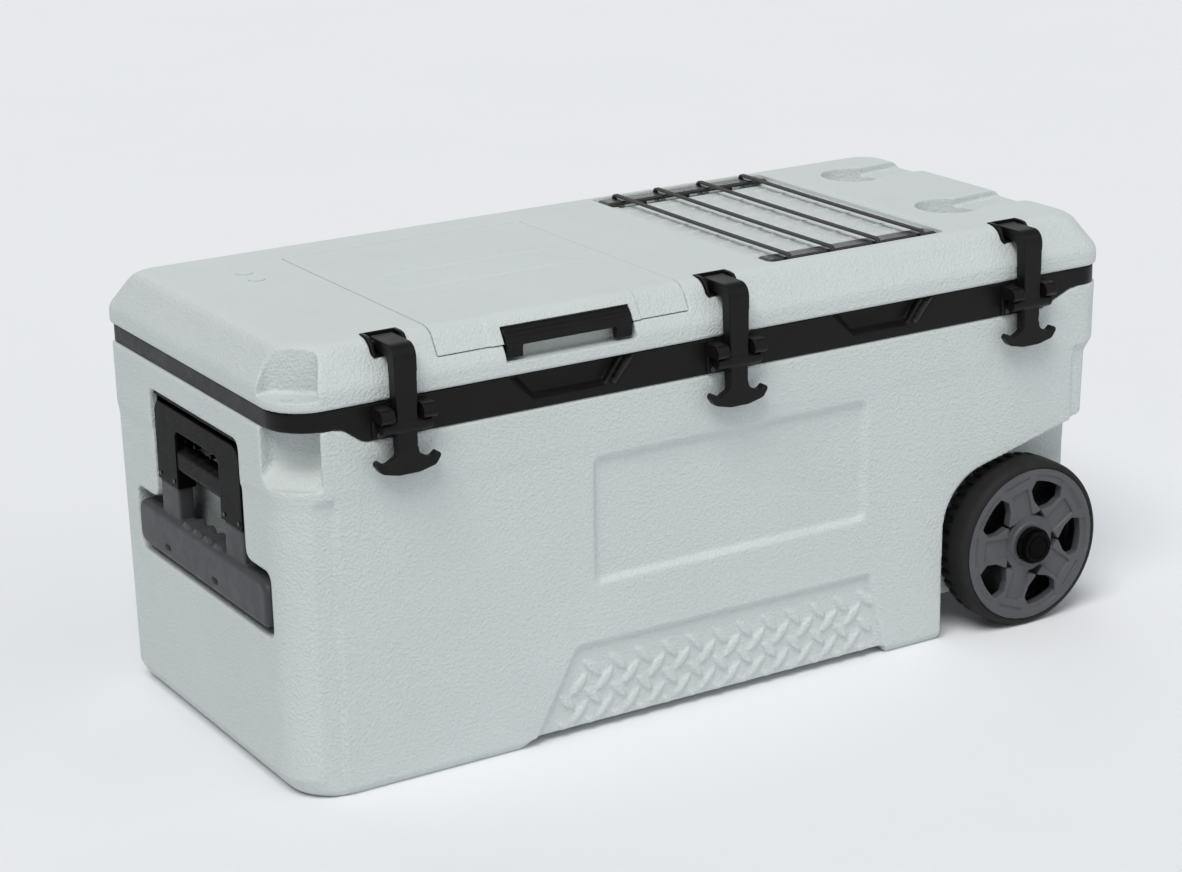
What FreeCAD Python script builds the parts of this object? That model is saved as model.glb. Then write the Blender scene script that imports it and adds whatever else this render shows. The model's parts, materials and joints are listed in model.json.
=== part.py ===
"""Wheeled hard cooler: insulated tub, hinged lid with a quick-access hatch, three rubber T-latches,
a swing tow handle and two wheels. Millimetres; +X is the wheel end, -Y the front, +Z up;
the origin is on the floor under the middle of the cooler."""
import FreeCAD, Part
import math
import os

V = FreeCAD.Vector
X_AXIS, Y_AXIS, Z_AXIS = V(1, 0, 0), V(0, 1, 0), V(0, 0, 1)

# ---- driving dimensions ----
LID_HALF_X, LID_HALF_Y = 550.0, 237.0      # lid edge, half length and half width
RIM_HALF_X, RIM_HALF_Y = 546.0, 236.0      # black rim collar
SEAM_Z = 438.0                             # top of the collar
COLLAR_Z = 416.0                           # underside of the collar, top of the tub walls
LID_Z = SEAM_Z + 0.4                       # underside of the lid
LID_TOP = 501.0
LID_SIDE_TOP = 459.0                       # where the lid's upright side meets its chamfer
LID_CHAMFER = 25.0                         # how far the chamfer leans in
CORNER_RADII = (50.0, 30.0, 30.0, 20.0)    # front left, front right, back right, back left
SKIN = 4.0                                 # lid, hatch and liner skin
WALL = 5.0                                 # tub shell wall
GAP = 0.4                                  # free gap between bodies
RUNNING = 0.05                             # radial clearance of a pin or shaft in its hole

FLOOR_Z = 48.0                             # cabin floor
STEP_Z = 262.0                             # cabin floor over the wheel bays
CABIN_X0, CABIN_X1, STEP_X = -478.0, 492.0, 262.0
CABIN_HALF_Y = 192.0

WHEEL_X, WHEEL_R, RIM_R = 431.0, 105.0, 95.5
WHEEL_OUT, WHEEL_IN = 251.0, 196.0         # faces of a wheel, from the middle plane
BAY_WALL_Y = 185.0                         # inner wall of a wheel bay
AXLE_R, AXLE_HALF = 8.0, 259.0

LATCH_X = {"left": -414.0, "centre": 2.0, "right": 421.0}
LATCH_PIN_Y, LATCH_PIN_Z = -204.0, 493.0
STRAP_BACK, STRAP_FRONT = -239.5, -254.5    # the strap's back and front faces below its bend
ROLL_Y, ROLL_Z, ROLL_R = -250.0, 411.5, 7.0
PULL_BOTTOM = 360.0                        # lowest edge of a latch's T-shaped pull

HATCH_X0, HATCH_X1 = -362.0, -48.0
HATCH_BACK = 150.0
HATCH_FLOOR = 471.5                        # rebate that the hatch sits in
HATCH_PIN_Y, HATCH_PIN_Z, HATCH_PIN_R = 147.0, 497.0, 3.0
WELL = (-343.0, -67.0, -187.0, 133.0)      # through opening under the hatch
BAR_X0, BAR_X1 = -281.5, -122.5            # hatch latch bar
BAR_PIN_Y, BAR_PIN_Z = -218.6, 483.0

LID_PIVOT_Y, LID_PIVOT_Z = 244.0, 438.0
HINGE_X = (-340.0, 0.0, 340.0)
HANDLE_X, HANDLE_Z = -536.0, 360.0         # tow handle pivot
RECESS_X = -508.0                          # back of the handle recess
YOKE_HALF = 115.0

RAIL_Y = (-175.5, 177.0)
RAIL_Z, RAIL_EDGE_R, RAIL_FLAT = 498.0, 2.6, 18.6
TRAY_Z, TROUGH_Z = 494.5, 486.5            # tray floor, and the troughs under the rails
CORD_X, CORD_R = (115.0, 176.0, 241.0, 306.0), 2.6
CUPS = ((430.0, 118.0), (420.0, -92.0))
DRAIN_Z, DRAIN_X = 72.0, 529.5

DIAMOND_PITCH_X, DIAMOND_PITCH_Z = 34.5, 17.0


# ---- geometry helpers ----
def in_xy(points, z):
    return [V(x, y, z) for x, y in points]


def in_xz(points, y):
    return [V(x, y, z) for x, z in points]


def in_yz(points, x):
    return [V(x, y, z) for y, z in points]


def box(x0, x1, y0, y1, z0, z1):
    return Part.makeBox(x1 - x0, y1 - y0, z1 - z0, V(x0, y0, z0))


def rod(start, axis, length, radius):
    return Part.makeCylinder(radius, length, start, axis)


def tube(start, axis, length, outer, inner):
    return rod(start, axis, length, outer).cut(rod(start, axis, length, inner))


def fuse(shapes):
    return shapes[0].multiFuse(shapes[1:]).removeSplitter() if len(shapes) > 1 else shapes[0]


def rounded_wire(corners, radius):
    """Closed wire through the corners, each rounded: one radius, or one for each corner."""
    radii = radius if isinstance(radius, (list, tuple)) else [radius] * len(corners)
    entries, exits, crowns = [], [], []
    for i, corner in enumerate(corners):
        back = (corners[i - 1] - corner).normalize()
        onward = (corners[(i + 1) % len(corners)] - corner).normalize()
        half = back.getAngle(onward) / 2
        entries.append(corner + back * (radii[i] / math.tan(half)))
        exits.append(corner + onward * (radii[i] / math.tan(half)))
        crowns.append(corner + (back + onward).normalize() * (radii[i] / math.sin(half) - radii[i]))
    edges = []
    for i in range(len(corners)):
        if radii[i] > 0:
            edges.append(Part.Arc(entries[i], crowns[i], exits[i]).toShape())
        edges.append(Part.makeLine(exits[i], entries[(i + 1) % len(corners)]))
    return Part.Wire(edges)


def prism(corners, radius, travel):
    return Part.Face(rounded_wire(corners, radius)).extrude(travel)


def block(x0, x1, y0, y1, z0, z1, radius):
    """Upright block with rounded vertical edges."""
    return prism(in_xy([(x0, y0), (x1, y0), (x1, y1), (x0, y1)], z0), radius, V(0, 0, z1 - z0))


def grown(points, amount):
    """A counter-clockwise 2D outline moved outward by amount."""
    result = []
    for i, (u, v) in enumerate(points):
        (ua, va), (ub, vb) = points[i - 1], points[(i + 1) % len(points)]
        before, after = math.hypot(u - ua, v - va), math.hypot(ub - u, vb - v)
        n1 = ((v - va) / before, (ua - u) / before)
        n2 = ((vb - v) / after, (u - ub) / after)
        scale = amount / (1 + n1[0] * n2[0] + n1[1] * n2[1])
        result.append((u + scale * (n1[0] + n2[0]), v + scale * (n1[1] + n2[1])))
    return result


def outline(low_x, high_x, half_y, inset, z):
    """Plan outline of the cooler at height z."""
    x0, x1, hy = low_x + inset, high_x - inset, half_y - inset
    corners = in_xy([(x0, -hy), (x1, -hy), (x1, hy), (x0, hy)], z)
    return rounded_wire(corners, [max(radius - inset, 6.0) for radius in CORNER_RADII])


def stack(sections, inset):
    """Solid through plan outlines; each section is (height, low end, high end, half width)."""
    return Part.makeLoft([outline(x0, x1, hy, inset, z) for z, x0, x1, hy in sections], True, True)


def soft_corner(corner, before, after, radius, steps):
    """Points along the arc that rounds a 2D corner between two unit directions."""
    turn = math.acos(before[0] * after[0] + before[1] * after[1])
    reach = radius * math.tan(turn / 2)
    start = math.atan2(before[1], before[0])
    points = []
    for step in range(steps + 1):
        swung = turn * step / steps
        along, aside = radius * math.sin(swung), radius * (1 - math.cos(swung))
        dx, dz = math.cos(start), math.sin(start)
        x0, z0 = corner[0] - before[0] * reach, corner[1] - before[1] * reach
        points.append((x0 + along * dx + aside * dz, z0 + along * dz - aside * dx))
    return points


# ---- tub ----
TUB_SECTIONS = ((0.0, -529.0, 523.0, 222.0), (9.0, -538.0, 529.0, 228.0),
                (24.0, -546.0, 529.5, 228.5), (330.0, -547.0, 537.0, 234.0),
                (345.0, -549.0, 548.0, 235.0), (COLLAR_Z, -549.0, 549.0, 236.0))


def front_y(z):
    """Front face of the tub below its flange, which leans in slightly towards the floor."""
    return -228.0 - 6.0 * (z - 7.0) / 323.0


def tub_form(inset):
    sections = [(max(z, inset + 0.2 * z), x0, x1, hy) for z, x0, x1, hy in TUB_SECTIONS]
    return stack(sections, inset)


def front_recess(points, depth, soft, grow):
    """Cutter for a recess in the leaning front face, with sloped edges of the given width."""
    rim = [V(x, front_y(z) - 3.0, z) for x, z in grown(points, grow + 1.0)]
    floor = [V(x, front_y(z) + depth + grow, z) for x, z in grown(points, grow - soft)]
    return Part.makeLoft([rounded_wire(rim, 10.0), rounded_wire(floor, 8.0)], True, True)


UPPER_PANEL = ((-181.0, 175.0), (198.0, 175.0), (198.0, 330.0), (-181.0, 330.0))
LOWER_PANEL = ((-270.0, -12.0), (233.0, -12.0), (204.0, 111.0), (-202.0, 111.0))
PANEL_DEPTH, COLUMN_STEP = 6.0, 4.5
BAY_PROFILE = ((311.0, -20.0), (570.0, -20.0), (570.0, 263.0), (311.0, 198.0))
RECESS_PROFILE = ((-181.0, 178.0), (181.0, 178.0), (181.0, 254.0), (120.0, 254.0),
                  (120.0, 386.0), (-120.0, 386.0), (-120.0, 254.0), (-181.0, 254.0))
SKIRT_PROFILE = ((-495.0, 425.0), (-495.0, COLLAR_Z), (-482.0, COLLAR_Z), (-456.0, 397.0),
                 (452.0, 397.0), (498.0, COLLAR_Z), (515.0, COLLAR_Z), (515.0, 425.0))
SKIRT_RADII = [0.0, 0.0, 22.0, 22.0, 34.0, 34.0, 0.0, 0.0]
SKIRT_BACK = -231.0
GRIPS = (((-286.0, 440.0), (-251.0, 408.0), (-150.0, 408.0), (-121.0, 440.0)),
         ((139.0, 440.0), (174.0, 409.0), (262.0, 409.0), (290.0, 440.0)))
GRIP_DEPTH = 13.0
# corner pockets at the front of the handle end: in plan, the full depth and the foot of the ledge
POCKET_PLAN = ((-532.0, -172.0), (-597.0, -196.0), (-531.0, -276.0), (-492.5, -211.5))
LEDGE_PLAN = ((-556.0, -184.0), (-600.0, -200.0), (-534.0, -280.0), (-505.0, -236.0))


def tub_cuts(grow):
    """Everything that is hollowed out of the tub from outside, each hollow grown by a wall."""
    cuts = [front_recess(UPPER_PANEL, PANEL_DEPTH, 9.0, grow),
            front_recess(LOWER_PANEL, PANEL_DEPTH, 6.0, grow)]
    for side in (-1, 1):
        wall = side * (BAY_WALL_Y - grow)
        bay = in_xz(grown(BAY_PROFILE, grow), wall)
        cuts.append(prism(bay, [0.0, 0.0, 0.0, 75.0], V(0, side * 90, 0)))
    cuts.append(box(BAY_PROFILE[0][0] - grow, 570, -300, 300, -20, 38 + grow))
    recess = in_yz(grown(RECESS_PROFILE, grow), RECESS_X + grow)
    cuts.append(prism(recess, 12.0, V(-70, 0, 0)))
    skirt = in_xz(grown(SKIRT_PROFILE, grow), SKIRT_BACK + grow)
    cuts.append(Part.Face(rounded_wire(skirt, SKIRT_RADII)).extrude(V(0, -40, 0)))
    for grip in GRIPS:
        back = -RIM_HALF_Y + GRIP_DEPTH + SKIN
        cuts.append(box(grip[0][0] - grow, grip[3][0] + grow, -280, back + grow, 403 - grow, 430))
    ledge = [rounded_wire(in_xy(grown(plan, grow), z - grow), [6, 0, 0, 6])
             for plan, z in ((LEDGE_PLAN, 352.0), (POCKET_PLAN, 374.0))]
    cuts.append(Part.makeLoft(ledge, True, True))
    cuts.append(corner_pocket(374.0 - grow, 430.0, grow))
    return cuts + underside_cuts(grow)


def corner_pocket(z0, z1, grow):
    """Upright pocket at the front-left corner with a flat back that faces the corner."""
    return prism(in_xy(grown(POCKET_PLAN, grow), z0), [10, 0, 0, 10], V(0, 0, z1 - z0))


def underside_cuts(grow):
    """The arch between the feet, and the shallow steps at the two front corner columns."""
    arch = in_xz(grown(((-290, -15), (236, -15), (228, 10), (-262, 10)), grow), -300)
    cuts = [prism(arch, [0, 0, 4, 14], V(0, 600, 0))]
    low, high = front_y(0) + COLUMN_STEP + grow, front_y(330) + COLUMN_STEP + grow
    for x0, x1 in ((-600, -492 + grow), (504 - grow, 600)):
        step = in_yz([(-300, -20), (low, -20), (high, 335 + grow), (-243 + grow, 352 + grow),
                      (-300, 352 + grow)], x0)
        cuts.append(prism(step, 0, V(x1 - x0, 0, 0)))
    return cuts


def diamond_bars():
    """Raised tread bars on the lower front panel, leaning the other way in every second row."""
    half, middle, thick = 14.5, 4.2, PANEL_DEPTH - 1.0
    crest = V(0, 0, middle)
    arcs = [Part.Arc(V(-half, 0, 0), crest * side, V(half, 0, 0)).toShape() for side in (1, -1)]
    lens = Part.Face(Part.Wire(arcs))
    bars = []
    for row in range(5):
        z = 9.0 + DIAMOND_PITCH_Z * row
        lean = 47 if row % 2 == 0 else -47
        shift = DIAMOND_PITCH_X / 2 * (row % 2)
        for i in range(-8, 8):
            x = -8.5 + shift + DIAMOND_PITCH_X * i
            if not -243 + 0.52 * z < x < 214 - 0.2 * z:
                continue
            bar = lens.extrude(V(0, -thick, 0))
            bar.rotate(V(0, 0, 0), Y_AXIS, lean)
            bar.translate(V(x, front_y(z) + PANEL_DEPTH + 1.5, z))
            bars.append(bar.common(box(-300, 300, -300, 0, 10.4, 200)))
    return bars


def cabin(grow):
    """Space inside the tub; it steps up over the wheel bays."""
    half = CABIN_HALF_Y + grow
    upper = block(CABIN_X0 - grow, CABIN_X1 + grow, -half, half, STEP_Z - grow, SEAM_Z + 1, 30)
    lower = block(CABIN_X0 - grow, STEP_X + grow, -half, half, FLOOR_Z - grow, STEP_Z + 10, 30)
    return upper.fuse(lower).removeSplitter()


def make_tub():
    form = tub_form(0.0).cut(tub_cuts(0.0))
    core = tub_form(WALL).cut(tub_cuts(WALL))
    bores = [rod(V(WHEEL_X, -200, WHEEL_R), Y_AXIS, 400, 12.0),
             rod(V(STEP_X, 0, DRAIN_Z), X_AXIS, 300, 14.0),
             rod(V(DRAIN_X, 0, DRAIN_Z), X_AXIS, 40, 27.0)]
    shell = form.cut(core).fuse(diamond_bars()).cut([cabin(SKIN)] + bores)
    foam = core.cut([cabin(SKIN)] + bores)
    liner_block = cabin(SKIN).common(box(-600, 600, -300, 300, 0, SEAM_Z))
    liner = liner_block.cut([cabin(0.0), bores[1]])
    return {"body_shell": shell, "body_foam": foam, "body_liner": liner}


def make_collar():
    """Black rim collar with its front fascia and two finger grips under the lid."""
    ring = stack([(z, -RIM_HALF_X, RIM_HALF_X, RIM_HALF_Y) for z in (COLLAR_Z, SEAM_Z)], 0.0)
    thick = -RIM_HALF_Y - SKIRT_BACK
    skirt = prism(in_xz(SKIRT_PROFILE, SKIRT_BACK), SKIRT_RADII, V(0, thick, 0))
    parts = [ring, skirt]
    for grip in GRIPS:
        back = -RIM_HALF_Y + GRIP_DEPTH + SKIN
        parts.append(box(grip[0][0], grip[3][0], -RIM_HALF_Y, back, 403, 420))
    collar = fuse(parts)
    for grip in GRIPS:
        mouth = in_xz(grown(grip, 1.5), -RIM_HALF_Y - 1.0)
        pocket = in_xz(grown(grip, -5.0), -RIM_HALF_Y + GRIP_DEPTH)
        pocket = [V(p.x, p.y, 441.5 if p.z > 430 else p.z) for p in pocket]
        cutter = Part.makeLoft([rounded_wire(mouth, 0), rounded_wire(pocket, 0)], True, True)
        collar = collar.cut(cutter)
        x = grip[2][0] - 12
        rib = in_xz([(x, 408), (x + 5, 408), (x + 26, 437), (x + 21, 437)], -RIM_HALF_Y + 3)
        collar = collar.fuse(prism(rib, 0, V(0, GRIP_DEPTH, 0)))
    return collar.cut(cabin(SKIN)).removeSplitter()


# ---- latches ----
def make_keeper(x):
    """Keeper on the fascia: a base plate and two rounded prongs that hold the strap's roll down."""
    front = -RIM_HALF_Y
    plate = in_xz([(x - 33, 398), (x + 33, 398), (x + 33, 435), (x - 33, 435)], front)
    parts = [prism(plate, 5, V(0, -3, 0))]
    low = ROLL_Z + ROLL_R + GAP
    for side in (-1, 1):
        profile = in_yz([(front - 2, low), (-259, low), (-262.5, low + 5), (-258, low + 15.5),
                         (front - 2, low + 15.5)], x + side * 24.5 - 8)
        parts.append(prism(profile, [0, 3, 5, 7, 0], V(16, 0, 0)))
    return fuse(parts)


def make_strap(x):
    """Moulded rubber T-latch: eye, thick tapering strap, roll under the prongs and T-shaped pull."""
    profile = in_yz([(LATCH_PIN_Y, 489.0), (STRAP_BACK, 484.5), (STRAP_BACK, PULL_BOTTOM + 20),
                     (STRAP_FRONT, PULL_BOTTOM + 20), (STRAP_FRONT, 499.5),
                     (LATCH_PIN_Y, 499.5)], x - 14)
    band = prism(profile, [0, 8, 0, 0, 15, 0], V(28, 0, 0))
    waist = in_xz([(x - 10, PULL_BOTTOM), (x + 10, PULL_BOTTOM), (x + 13.5, 480), (x + 13.5, 520),
                   (x - 13.5, 520), (x - 13.5, 480)], -300)
    band = band.common(prism(waist, 0, V(0, 200, 0)))
    eye = rod(V(x - 13.5, LATCH_PIN_Y, LATCH_PIN_Z), X_AXIS, 27, 7.0)
    roll = rod(V(x - 29, ROLL_Y, ROLL_Z), X_AXIS, 58, ROLL_R)
    pull = [(-10, 34), (-13, 20), (-27, 12.5), (-34, 19), (-39, 15), (-32, 4.5), (-13, 0),
            (13, 0), (32, 4.5), (39, 15), (34, 19), (27, 12.5), (13, 20), (10, 34)]
    radii = [0, 7, 6, 2, 3, 8, 10, 10, 8, 3, 2, 6, 7, 0]
    corners = in_xz([(x + dx, PULL_BOTTOM + dz) for dx, dz in pull], STRAP_BACK - 4)
    tee = prism(corners, radii, V(0, STRAP_FRONT - STRAP_BACK + 4, 0))
    strap = fuse([band, eye, roll, tee])
    hole = rod(V(x - 20, LATCH_PIN_Y, LATCH_PIN_Z), X_AXIS, 40, 3.0)
    return strap.cut(hole)


def make_anchor(x):
    """Anchor bracket lining the lid's pocket: its two cheeks follow the lid's edge and hold the pin."""
    cheek = [(-193, 482.4), (-225.5, 482.4), (-218.5, 495), (-213, 501), (-205, 502), (-193, 502)]
    cheeks = [prism(in_yz(cheek, x0), [0, 0, 4, 4, 0, 0], V(4, 0, 0)) for x0 in (x - 21.5, x + 17.5)]
    base = box(x - 21.5, x + 21.5, -224, -193, 482.4, 484.4)
    back = box(x - 21.5, x + 21.5, -195.5, -193, 482.4, 502)
    bore = rod(V(x - 30, LATCH_PIN_Y, LATCH_PIN_Z), X_AXIS, 60, 3.0 + RUNNING)
    return fuse([base, back] + cheeks).cut(bore)


def make_latches():
    nodes = {}
    keepers, anchors, screws = [], [], []
    for side, x in LATCH_X.items():
        nodes["latch_strap_" + side] = make_strap(x)
        nodes["latch_pin_" + side] = rod(V(x - 21, LATCH_PIN_Y, LATCH_PIN_Z), X_AXIS, 42, 3.0)
        keepers.append(make_keeper(x))
        anchors.append(make_anchor(x))
        for dx in (-26, 26):
            start = V(x + dx, -RIM_HALF_Y - 4.5, 403)
            screws.append(fuse([rod(start, Y_AXIS, 1.5, 3.5), rod(start, Y_AXIS, 16, 2.0)]))
    nodes["latch_keepers"] = Part.makeCompound(keepers)
    nodes["latch_anchors"] = Part.makeCompound(anchors)
    nodes["keeper_screws"] = Part.makeCompound(screws)
    return nodes


# ---- lid and hatch ----
def lid_form(inset):
    """Lid shape: upright side, soft chamfer and flat top."""
    slope = math.atan2(LID_TOP - LID_SIDE_TOP, LID_CHAMFER)
    lean = (math.cos(slope), math.sin(slope))
    top = LID_TOP - inset
    profile = [(2.0, LID_Z), (0.0, LID_Z + 2.4)]
    profile += soft_corner((0.0, LID_SIDE_TOP), (0.0, 1.0), lean, 20.0, 2)
    crest_x = (top - LID_SIDE_TOP) / math.tan(slope)
    profile += soft_corner((crest_x, top), lean, (1.0, 0.0), 22.0, 4)
    if inset:
        profile[0] = (0.0, LID_Z)
    wires = [outline(d - LID_HALF_X, LID_HALF_X - d, LID_HALF_Y - d, inset, z) for d, z in profile]
    return Part.makeLoft(wires, True, True)


def cup_cutter(x, y, grow):
    """Cup holder with a flared channel running out over the wheel end."""
    cup = Part.makeCone(38 + grow, 41 + grow, 40 + grow, V(x, y, 473 - grow))
    reach = 600.0
    flare = in_xy([(x + 20, y - 24 - grow), (reach, y - 46 - grow), (reach, y + 46 + grow),
                   (x + 20, y + 24 + grow)], 491 - grow)
    return [cup, prism(flare, 0, V(0, 0, 40 + grow))]


def lid_cuts(grow):
    """Everything hollowed out of the lid, each hollow grown by a skin."""
    g = grow
    cuts = [block(84 - g, 334 + g, -196 - g, 197.5 + g, TRAY_Z - g, 540, 8)]
    for y in RAIL_Y:
        cuts.append(box(105 - g, 320 + g, y - 18.5 - g, y + 18.5 + g, TROUGH_Z - g, 540))
    for x, y in CUPS:
        cuts += cup_cutter(x, y, g)
    for x in LATCH_X.values():
        cuts.append(box(x - 22 - g, x + 22 + g, -300, -192 + g, 482 - g, 540))
    cuts.append(box(HATCH_X0 - 1 - g, HATCH_X1 + 1 + g, -300, HATCH_BACK + 2.6 + g,
                    HATCH_FLOOR - g, 540))
    x0, x1, y0, y1 = WELL
    cuts.append(block(x0 - g, x1 + g, y0 - g, y1 + g, 430, 480, 14))
    cuts.append(box(BAR_X0 - 2 - g, BAR_X1 + 2 + g, -300, -217 + g, 453 - g, 480))
    radius = HATCH_PIN_R + (g + RUNNING if g else 0.0)
    cuts.append(rod(V(HATCH_X0 - 11 - g, HATCH_PIN_Y, HATCH_PIN_Z), X_AXIS,
                    HATCH_X1 - HATCH_X0 + 22 + 2 * g, radius))
    cuts.append(corner_pocket(450 - g, 540, g))
    return cuts


PLUG_SPOTS = ((-426.0, 115.0), (-426.0, 81.0))


def tray_ribs():
    """Short raised dashes on the tray floor under the cords."""
    ribs = []
    for column in range(7):
        for row in range(9):
            x = 100 + 32 * column + (8 if row % 2 else 0)
            y = -136 + 34 * row
            ribs.append(box(x, x + 17, y - 2, y + 2, TRAY_Z - 1.0, TRAY_Z + 1.6))
    return ribs


def make_lid():
    form, core = lid_form(0.0), lid_form(SKIN)
    cuts, grown_cuts = lid_cuts(0.0), lid_cuts(SKIN)
    marks = [box(343, 348, -160, 100, 499.4, 510)]
    marks += [rod(V(x, y, 499.5), Z_AXIS, 5, 10) for x, y in PLUG_SPOTS]
    core = core.cut(grown_cuts)
    shell = form.cut(core).cut(cuts + marks).fuse(tray_ribs())
    split = LID_Z + SKIN
    foam = core.common(box(-600, 600, -300, 300, split, 520))
    liner = core.common(box(-600, 600, -300, 300, LID_Z - 1, split))
    gasket = block(-503, 517, -217, 217, LID_Z, LID_Z + 2.5, 24)
    gasket = gasket.cut(block(-493, 507, -207, 207, LID_Z, LID_Z + 2.5, 14))
    plugs = [rod(V(x, y, 499.5), Z_AXIS, 2.2, 10) for x, y in PLUG_SPOTS]
    plugs.append(rod(V(-529.5, -210.5, 450), Z_AXIS, 1.2, 5.5))
    return {"lid_shell": shell, "lid_foam": foam, "lid_liner": liner.cut(gasket),
            "lid_gasket": gasket, "fill_plugs": Part.makeCompound(plugs)}


def bar_notch(grow):
    """Slanted notch in the hatch's front edge for the latch bar."""
    points = [(-245.0, 463.0), (-221.0 + grow, 463.0), (-208.5 + grow, 486.5),
              (-211.5, 490.0 + grow), (-250.0, 490.0 + grow)]
    return prism(in_yz(points, BAR_X0 - 1 - grow), 0, V(BAR_X1 - BAR_X0 + 2 + 2 * grow, 0, 0))


def hatch_pad():
    """Slightly raised middle of the hatch's front edge, round the latch bar."""
    pad = lid_form(-1.6).common(box(-298, -111, -300, -205, HATCH_FLOOR + 1.0, 520))
    return pad.cut(lid_form(1.0))


def make_hatch():
    base = HATCH_FLOOR + 1.0
    cheek = box(HATCH_X0, HATCH_X1, -300, HATCH_BACK, base, 520)
    inner = box(HATCH_X0 + SKIN, HATCH_X1 - SKIN, -300, HATCH_BACK - SKIN, base, 520)
    boss = rod(V(HATCH_X0, HATCH_PIN_Y, HATCH_PIN_Z), X_AXIS, HATCH_X1 - HATCH_X0, 7.0)
    pin_hole = rod(V(HATCH_X0 - 20, HATCH_PIN_Y, HATCH_PIN_Z), X_AXIS, 400, HATCH_PIN_R + RUNNING)
    latch_hole = rod(V(BAR_X0 - 5, BAR_PIN_Y, BAR_PIN_Z), X_AXIS, BAR_X1 - BAR_X0 + 10, 2.0)
    form = lid_form(0.0).common(cheek).fuse(hatch_pad()).cut(bar_notch(0.0))
    core = lid_form(SKIN).common(inner).cut([bar_notch(SKIN), boss])
    plaque = block(-313, -84, -60, 15, 500.5, 502, 3).cut(block(-309, -88, -56, 11, 500, 503, 2))
    shell = form.cut(core).fuse(plaque).cut([pin_hole, latch_hole])
    split = base + 2.5
    liner = core.common(box(-400, 0, -300, 300, base, split))
    foam = core.common(box(-400, 0, -300, 300, split, 520))
    return {"hatch_shell": shell, "hatch_liner": liner, "hatch_foam": foam}


def make_hatch_hardware():
    pin = rod(V(HATCH_X0 - 11, HATCH_PIN_Y, HATCH_PIN_Z), X_AXIS, HATCH_X1 - HATCH_X0 + 22,
              HATCH_PIN_R)
    x0, x1, y0, y1 = WELL
    seal = block(x0 - 10, x1 + 10, y0 - 10, y1 + 10, HATCH_FLOOR, HATCH_FLOOR + 0.6, 20)
    seal = seal.cut(block(x0 - 3, x1 + 3, y0 - 3, y1 + 3, 470, 475, 14))
    return {"hatch_hinge_pin": pin, "hatch_gasket": seal}


def make_hatch_latch():
    """Pull bar on the hatch's front edge, with a foot at each end that clips over the lid."""
    profile = [(-225.8, 472.6), (-215.3, 482.7), (-217.6, 489.1), (-223.5, 487.0), (-233.6, 472.0),
               (-232.2, 469.5)]
    bar = prism(in_yz(profile, BAR_X0), [1, 1, 2, 3, 1, 0.8], V(BAR_X1 - BAR_X0, 0, 0))
    ridge = in_yz([(-224.4, 484.6), (-227.2, 483.4), (-229.4, 479.6), (-227.6, 478.8)], BAR_X0)
    barrel = rod(V(BAR_X0, BAR_PIN_Y, BAR_PIN_Z), X_AXIS, BAR_X1 - BAR_X0, 4.5)
    parts = [bar, barrel, prism(ridge, 0, V(BAR_X1 - BAR_X0, 0, 0))]
    foot = [(-223.0, 456.5), (-221.0, 478.0), (-227.0, 478.0), (-231.5, 470.5), (-230.5, 456.5)]
    for x in (BAR_X0 + 1, BAR_X1 - 21):
        parts.append(prism(in_yz(foot, x), 0, V(20, 0, 0)))
    bore = rod(V(BAR_X0 - 1, BAR_PIN_Y, BAR_PIN_Z), X_AXIS, BAR_X1 - BAR_X0 + 2, 2.0 + RUNNING)
    pin = rod(V(BAR_X0 - 5, BAR_PIN_Y, BAR_PIN_Z), X_AXIS, BAR_X1 - BAR_X0 + 10, 2.0)
    return {"hatch_latch_bar": fuse(parts).cut(bore), "hatch_latch_pin": pin}


def make_bungee():
    """Two rails over the tray, four elastic cords looped round them, and their crimps."""
    nodes = {}
    for name, y in zip(("bungee_rail_front", "bungee_rail_back"), RAIL_Y):
        half = RAIL_FLAT / 2
        bars = [box(88, 330, y - half, y + half, RAIL_Z - RAIL_EDGE_R, RAIL_Z + RAIL_EDGE_R)]
        for side in (-1, 1):
            bars.append(rod(V(88, y + side * half, RAIL_Z), X_AXIS, 242, RAIL_EDGE_R))
        rail = fuse(bars)
        for x, lean in ((84, 1), (334, -1)):
            slant = in_xz([(x, 494), (x + lean * 14, 505), (x, 505)], y - 20)
            rail = rail.cut(prism(slant, 0, V(0, 40, 0)))
        feet = [box(x - 6, x + 6, y - 6, y + 6, TRAY_Z, RAIL_Z) for x in (97, 325)]
        feet += [box(x - 4, x + 4, y - 6, y + 6, TROUGH_Z, RAIL_Z) for x in (146, 210, 275)]
        nodes[name] = fuse([rail] + feet)
    wrap = RAIL_EDGE_R + CORD_R + 0.8
    cords, crimps = [], []
    for x in CORD_X:
        y0, y1 = RAIL_Y[0] - RAIL_FLAT / 2, RAIL_Y[1] + RAIL_FLAT / 2
        low, high = RAIL_Z - wrap, RAIL_Z + wrap
        tails = (y0 + 8, y1 - 8)
        path = Part.Wire([
            Part.LineSegment(V(x, tails[0], low), V(x, y0, low)).toShape(),
            Part.Arc(V(x, y0, low), V(x, y0 - wrap, RAIL_Z), V(x, y0, high)).toShape(),
            Part.LineSegment(V(x, y0, high), V(x, y1, high)).toShape(),
            Part.Arc(V(x, y1, high), V(x, y1 + wrap, RAIL_Z), V(x, y1, low)).toShape(),
            Part.LineSegment(V(x, y1, low), V(x, tails[1], low)).toShape()])
        ring = Part.Wire(Part.makeCircle(CORD_R, V(x, tails[0], low), Y_AXIS))
        cords.append(path.makePipeShell([ring], True, False))
        crimps.append(rod(V(x, tails[0], low), Y_AXIS, 7, 3.1))
        crimps.append(rod(V(x, tails[1] - 7, low), Y_AXIS, 7, 3.1))
    nodes["bungee_cords"] = Part.makeCompound(cords)
    nodes["bungee_crimps"] = Part.makeCompound(crimps)
    return nodes


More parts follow.
